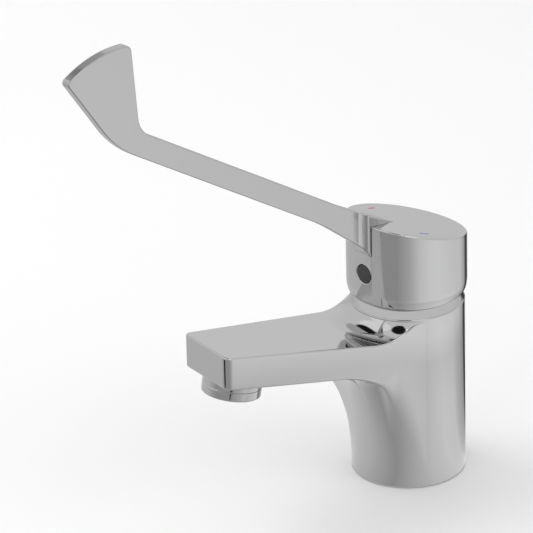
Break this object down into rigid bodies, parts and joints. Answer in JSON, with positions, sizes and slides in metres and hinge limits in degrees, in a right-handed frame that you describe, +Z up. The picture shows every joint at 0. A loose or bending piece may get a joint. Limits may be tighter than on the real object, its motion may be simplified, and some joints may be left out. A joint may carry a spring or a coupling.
{
  "type": "elbow lever tap",
  "caption": "Single-hole basin mixer tap with a tapering spout, a drum head with a slanted top and a long flat lever that widens into a paddle to be pushed with the elbow.",
  "frame": {"origin": "centre of the tap's round foot, in the plane of the deck that it stands on", "axes": "+Z is up along the upright; -Y is forwards, where the spout points; +X is to the user's right, the cold side. The lever rests turned 8 degrees to that side."},
  "size_m": [0.0544, 0.2124, 0.2451],
  "materials": {
    "chrome_body": "mirror-bright chrome plate on cast metal",
    "chrome_trim": "mirror-bright chrome plate on turned metal",
    "chrome_lever": "satin-bright chrome plate on a flat lever",
    "steel": "plain turned steel",
    "brass": "bare machined brass",
    "seal_rubber": "matt black rubber",
    "white_plastic": "moulded white plastic",
    "grey_plastic": "moulded grey plastic",
    "ceramic": "lapped white ceramic",
    "plug_grey": "smooth dark grey plastic",
    "red_enamel": "glossy red fill",
    "blue_enamel": "glossy blue fill"
  },
  "bodies": {
    "tap_body": {"body": "chrome_body", "base_seal": "seal_rubber", "aerator_housing": "chrome_trim", "aerator_insert": "white_plastic", "aerator_washer": "seal_rubber", "cartridge_base": "white_plastic", "port_seals": "seal_rubber", "disc_seals": "seal_rubber", "fixed_disc": "ceramic", "cartridge_housing": "white_plastic", "cartridge_nut": "brass", "ring_seal": "seal_rubber", "trim_ring": "chrome_trim"},
    "spindle": {"stem_carrier": "grey_plastic", "stem_pin": "steel"},
    "mixing_disc": {"moving_disc": "ceramic", "disc_carrier": "grey_plastic"},
    "handle": {"stem": "steel", "head": "chrome_body", "lever": "chrome_lever", "lever_screw": "steel", "grub_screw": "steel", "index_plug": "plug_grey", "hot_mark": "red_enamel", "cold_mark": "blue_enamel"}
  },
  "joints": [
    {"name": "temperature_turn", "type": "hinge", "parent": "tap_body", "child": "spindle", "pos_m": [0, 0, 0.07], "axis": [0, 0, 1], "range_deg": [-53, 37]},
    {"name": "flow_lift", "type": "hinge", "parent": "spindle", "child": "handle", "pos_m": [0, 0, 0.07], "axis": [-0.9903, -0.1392, 0], "range_deg": [0, 25]},
    {"name": "disc_slide", "type": "slide", "parent": "spindle", "child": "mixing_disc", "axis": [0.1392, -0.9903, 0], "range_m": [0, 0.0026]}
  ],
  "couplings": [
    {"joint": "disc_slide", "follows": "flow_lift", "m_per_rad": 0.0057}
  ]
}
